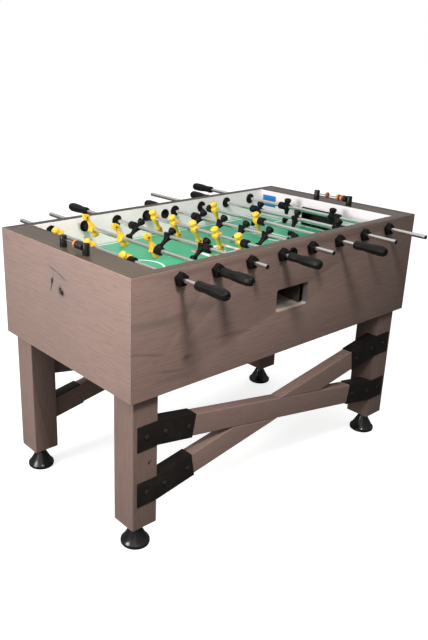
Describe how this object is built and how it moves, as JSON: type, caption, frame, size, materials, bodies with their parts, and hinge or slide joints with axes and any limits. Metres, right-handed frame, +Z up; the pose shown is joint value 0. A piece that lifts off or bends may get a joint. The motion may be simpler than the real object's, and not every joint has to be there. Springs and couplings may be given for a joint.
{
  "type": "foosball table",
  "caption": "Free-standing table football game on four square legs with crossed braces, with sliding and turning rods of player figures, goals, a ball return and sliding score beads.",
  "frame": {"origin": "on the floor, under the middle of the whole footprint, with the rods and handles as they rest", "axes": "+X along the long sides, towards the right goal; +Y from the front side, which has the ball-return mouth, to the back side; +Z up"},
  "size_m": [1.422, 1.3082, 1.007],
  "materials": {
    "weathered_wood": "weathered grey-brown, satin",
    "white_laminate": "white laminate, semi-gloss",
    "green_field": "green laminated board with white lines, semi-gloss",
    "dark_board": "plain dark board, matte",
    "bright_steel": "polished",
    "bumper_rubber": "matte",
    "black_grip": "satin",
    "black_plastic": "satin",
    "black_steel": "black powder coat",
    "dark_bead": "semi-gloss",
    "orange_bead": "semi-gloss"
  },
  "bodies": {
    "cabinet": {"front_side_panel": "weathered_wood", "back_side_panel": "weathered_wood", "left_end_panel": "weathered_wood", "right_end_panel": "weathered_wood", "left_top_board": "weathered_wood", "right_top_board": "weathered_wood", "left_goal_wall": "white_laminate", "right_goal_wall": "white_laminate", "playfield": "green_field", "ball_return_tray": "dark_board", "cabinet_floor": "dark_board", "leg_front_left": "weathered_wood", "leg_front_right": "weathered_wood", "leg_back_left": "weathered_wood", "leg_back_right": "weathered_wood", "stretcher_front_falling": "weathered_wood", "stretcher_front_rising": "weathered_wood", "stretcher_back_falling": "weathered_wood", "stretcher_back_rising": "weathered_wood", "bracket_front_left_upper": "black_steel", "bracket_front_left_lower": "black_steel", "bracket_front_right_upper": "black_steel", "bracket_front_right_lower": "black_steel", "bracket_back_left_upper": "black_steel", "bracket_back_left_lower": "black_steel", "bracket_back_right_upper": "black_steel", "bracket_back_right_lower": "black_steel", "score_rack_left": "black_plastic", "score_rack_right": "black_plastic"},
    "leveler_front_left": {"leveler_front_left": "black_plastic"},
    "leveler_front_right": {"leveler_front_right": "black_plastic"},
    "leveler_back_left": {"leveler_back_left": "black_plastic"},
    "leveler_back_right": {"leveler_back_right": "black_plastic"},
    "rod_1_carriage": {"rod_1_bumper": "bumper_rubber"},
    "rod_1": {"rod_1": "bright_steel", "rod_1_handle": "black_grip"},
    "rod_2_carriage": {"rod_2_bumper": "bumper_rubber"},
    "rod_2": {"rod_2": "bright_steel", "rod_2_handle": "black_grip"},
    "rod_3_carriage": {"rod_3_bumper": "bumper_rubber"},
    "rod_3": {"rod_3": "bright_steel", "rod_3_handle": "black_grip"},
    "rod_4_carriage": {"rod_4_bumper": "bumper_rubber"},
    "rod_4": {"rod_4": "bright_steel", "rod_4_handle": "black_grip"},
    "rod_5_carriage": {"rod_5_bumper": "bumper_rubber"},
    "rod_5": {"rod_5": "bright_steel", "rod_5_handle": "black_grip"},
    "rod_6_carriage": {"rod_6_bumper": "bumper_rubber"},
    "rod_6": {"rod_6": "bright_steel", "rod_6_handle": "black_grip"},
    "rod_7_carriage": {"rod_7_bumper": "bumper_rubber"},
    "rod_7": {"rod_7": "bright_steel", "rod_7_handle": "black_grip"},
    "rod_8_carriage": {"rod_8_bumper": "bumper_rubber"},
    "rod_8": {"rod_8": "bright_steel", "rod_8_handle": "black_grip"},
    "score_beads_left": {"score_beads_left": "dark_bead"},
    "score_beads_right": {"score_beads_right": "orange_bead"},
    "score_bead_right": {"score_bead_right": "orange_bead"}
  },
  "joints": [
    {"name": "rod_1_slide", "type": "slide", "parent": "cabinet", "child": "rod_1_carriage", "axis": [0, 1, 0], "range_m": [-0.175, 0.015]},
    {"name": "rod_1_spin", "type": "hinge", "parent": "rod_1_carriage", "child": "rod_1", "pos_m": [-0.5292, 0.01087, 0.934], "axis": [0, 1, 0], "continuous": true},
    {"name": "rod_2_slide", "type": "slide", "parent": "cabinet", "child": "rod_2_carriage", "axis": [0, 1, 0], "range_m": [-0.225, 0.005]},
    {"name": "rod_2_spin", "type": "hinge", "parent": "rod_2_carriage", "child": "rod_2", "pos_m": [-0.378, 0.04088, 0.934], "axis": [0, 1, 0], "continuous": true},
    {"name": "rod_3_slide", "type": "slide", "parent": "cabinet", "child": "rod_3_carriage", "axis": [0, 1, 0], "range_m": [-0.144, 0.086]},
    {"name": "rod_3_spin", "type": "hinge", "parent": "rod_3_carriage", "child": "rod_3", "pos_m": [-0.2268, -0.04013, 0.934], "axis": [0, 1, 0], "continuous": true},
    {"name": "rod_4_slide", "type": "slide", "parent": "cabinet", "child": "rod_4_carriage", "axis": [0, 1, 0], "range_m": [-0.113, 0.005]},
    {"name": "rod_4_spin", "type": "hinge", "parent": "rod_4_carriage", "child": "rod_4", "pos_m": [-0.0756, -0.01512, 0.934], "axis": [0, 1, 0], "continuous": true},
    {"name": "rod_5_slide", "type": "slide", "parent": "cabinet", "child": "rod_5_carriage", "axis": [0, 1, 0], "range_m": [-0.008, 0.11]},
    {"name": "rod_5_spin", "type": "hinge", "parent": "rod_5_carriage", "child": "rod_5", "pos_m": [0.0756, -0.12012, 0.934], "axis": [0, 1, 0], "continuous": true},
    {"name": "rod_6_slide", "type": "slide", "parent": "cabinet", "child": "rod_6_carriage", "axis": [0, 1, 0], "range_m": [-0.31525, 0.03925]},
    {"name": "rod_6_spin", "type": "hinge", "parent": "rod_6_carriage", "child": "rod_6", "pos_m": [0.2268, 0.06888, 0.934], "axis": [0, 1, 0], "continuous": true},
    {"name": "rod_7_slide", "type": "slide", "parent": "cabinet", "child": "rod_7_carriage", "axis": [0, 1, 0], "range_m": [-0.04, 0.15]},
    {"name": "rod_7_spin", "type": "hinge", "parent": "rod_7_carriage", "child": "rod_7", "pos_m": [0.378, -0.12412, 0.934], "axis": [0, 1, 0], "continuous": true},
    {"name": "rod_8_slide", "type": "slide", "parent": "cabinet", "child": "rod_8_carriage", "axis": [0, 1, 0], "range_m": [-0.17825, 0.17625]},
    {"name": "rod_8_spin", "type": "hinge", "parent": "rod_8_carriage", "child": "rod_8", "pos_m": [0.5292, -0.06813, 0.934], "axis": [0, 1, 0], "continuous": true},
    {"name": "leveler_front_left_screw", "type": "slide", "parent": "cabinet", "child": "leveler_front_left", "axis": [0, 0, -1], "range_m": [0, 0.02]},
    {"name": "leveler_front_right_screw", "type": "slide", "parent": "cabinet", "child": "leveler_front_right", "axis": [0, 0, -1], "range_m": [0, 0.02]},
    {"name": "leveler_back_left_screw", "type": "slide", "parent": "cabinet", "child": "leveler_back_left", "axis": [0, 0, -1], "range_m": [0, 0.02]},
    {"name": "leveler_back_right_screw", "type": "slide", "parent": "cabinet", "child": "leveler_back_right", "axis": [0, 0, -1], "range_m": [0, 0.02]},
    {"name": "score_beads_left_slide", "type": "slide", "parent": "cabinet", "child": "score_beads_left", "axis": [0, 1, 0], "range_m": [0, 0.055]},
    {"name": "score_beads_right_slide", "type": "slide", "parent": "cabinet", "child": "score_beads_right", "axis": [0, 1, 0], "range_m": [0, 0.022]},
    {"name": "score_bead_right_slide", "type": "slide", "parent": "cabinet", "child": "score_bead_right", "axis": [0, 1, 0], "range_m": [-0.022, 0.037]}
  ]
}
